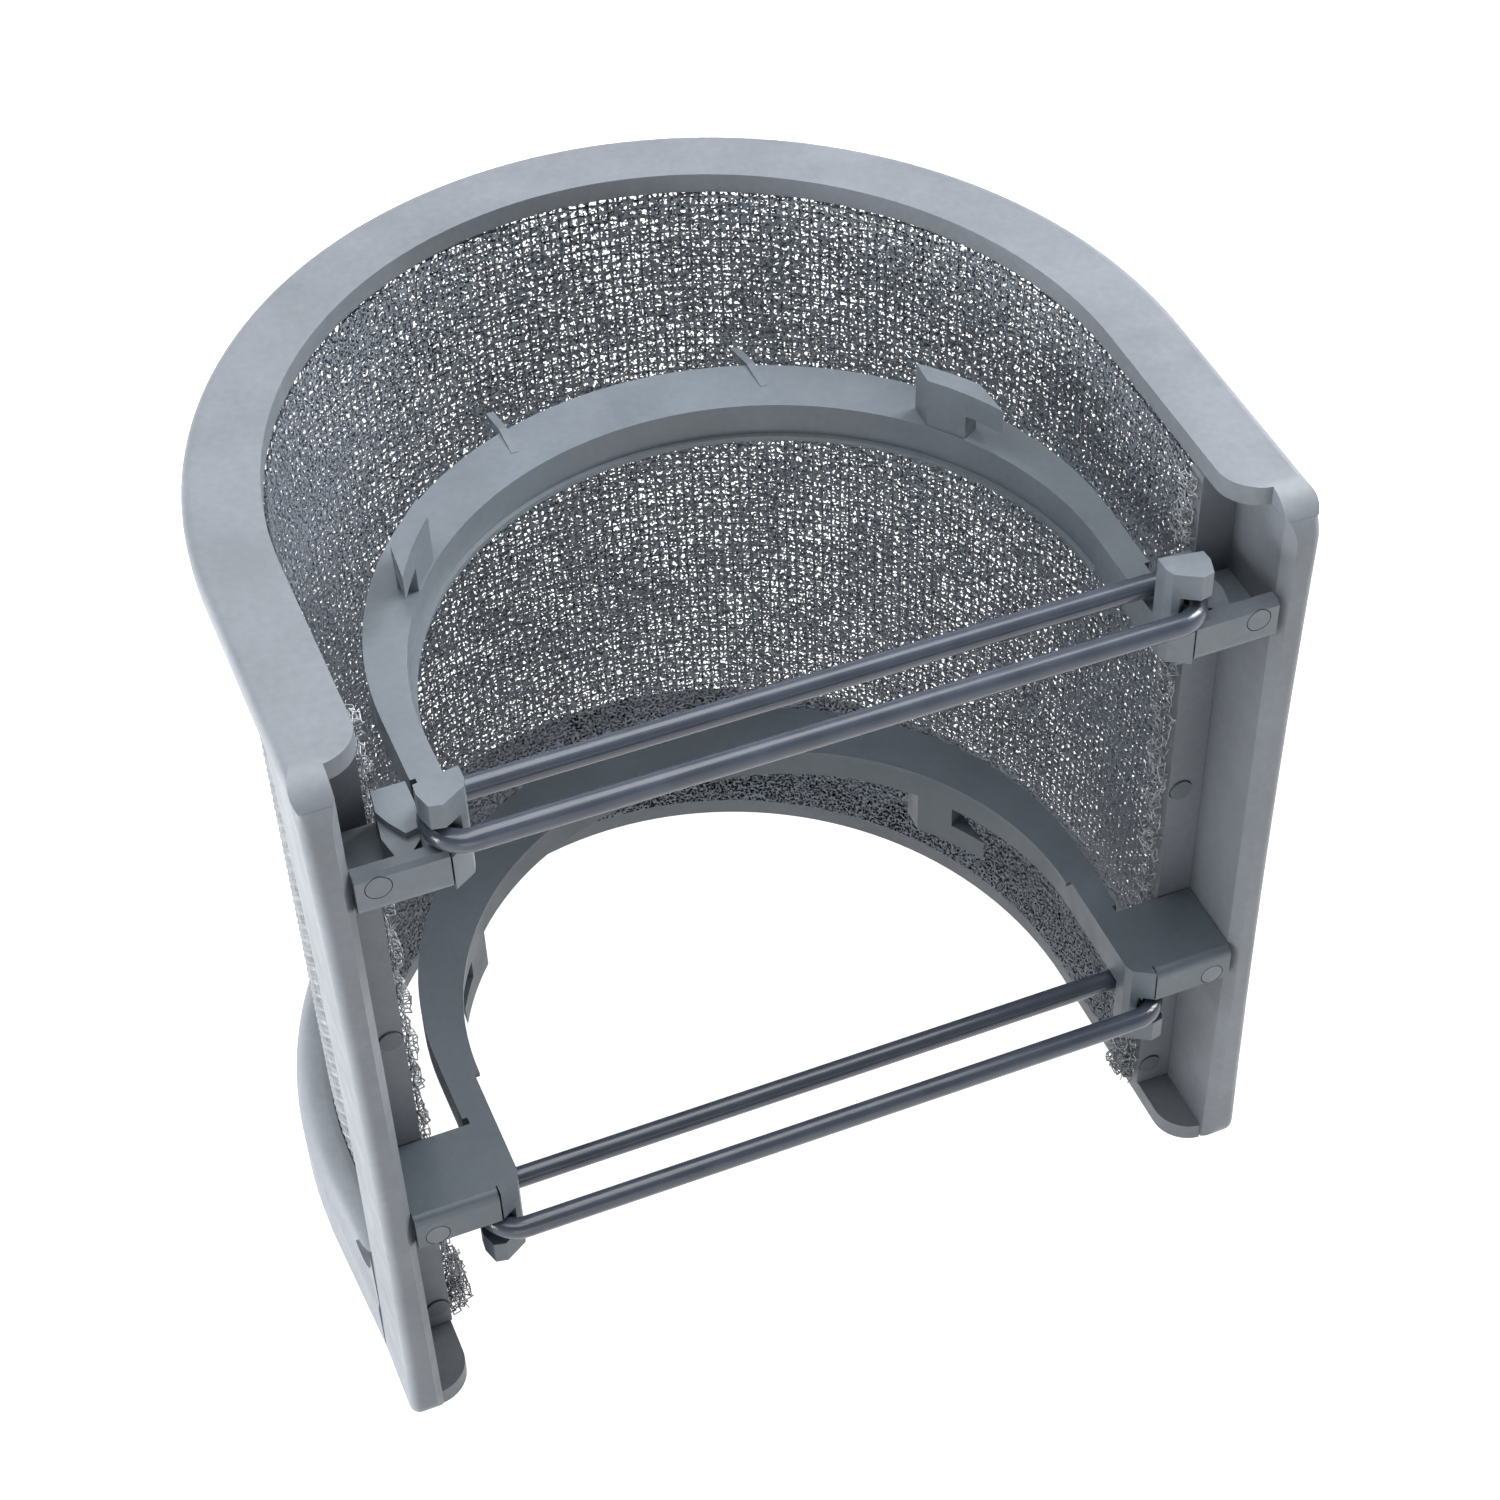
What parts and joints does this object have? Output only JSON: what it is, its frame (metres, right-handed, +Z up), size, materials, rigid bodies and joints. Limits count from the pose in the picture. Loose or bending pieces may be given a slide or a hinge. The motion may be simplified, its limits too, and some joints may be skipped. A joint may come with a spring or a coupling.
{
  "type": "pop filter",
  "caption": "U-shaped wire and foam pop screen in a moulded frame, with C-shaped holders whose elastic bands grip a microphone from behind.",
  "frame": {"origin": "on the axis of the held microphone, in the base plane of the lower rim", "axes": "+Z up along the microphone axis, +Y towards the closed nose of the U, +X to the right seen from the open side"},
  "size_m": [0.112, 0.094, 0.106],
  "materials": {
    "shell_plastic": "satin moulded plastic",
    "inner_plastic": "satin moulded plastic",
    "holder_plastic": "satin moulded plastic",
    "pin_plastic": "satin moulded plastic",
    "mesh_steel": "dark coated woven wire",
    "open_foam": "open-cell foam",
    "band_rubber": "smooth elastic rubber"
  },
  "bodies": {
    "frame": {"upper_rim": "shell_plastic", "lower_rim": "shell_plastic", "left_post": "shell_plastic", "right_post": "shell_plastic", "wire_mesh": "mesh_steel", "lower_border": "inner_plastic", "foam_liner": "open_foam", "left_rail": "inner_plastic", "right_rail": "inner_plastic", "upper_holder": "holder_plastic", "lower_holder": "holder_plastic", "holder_pins": "pin_plastic", "rail_pins": "pin_plastic"},
    "upper_band_loop": {"upper_band": "band_rubber"},
    "lower_band_loop": {"lower_band": "band_rubber"}
  },
  "joints": [
    {"name": "upper_band_stretch", "type": "slide", "parent": "frame", "child": "upper_band_loop", "axis": [0, -1, 0], "range_m": [0, 0.02], "stiffness_N_per_m": 60, "deforming": ["upper_band"]},
    {"name": "lower_band_stretch", "type": "slide", "parent": "frame", "child": "lower_band_loop", "axis": [0, -1, 0], "range_m": [0, 0.02], "stiffness_N_per_m": 60, "deforming": ["lower_band"]}
  ]
}
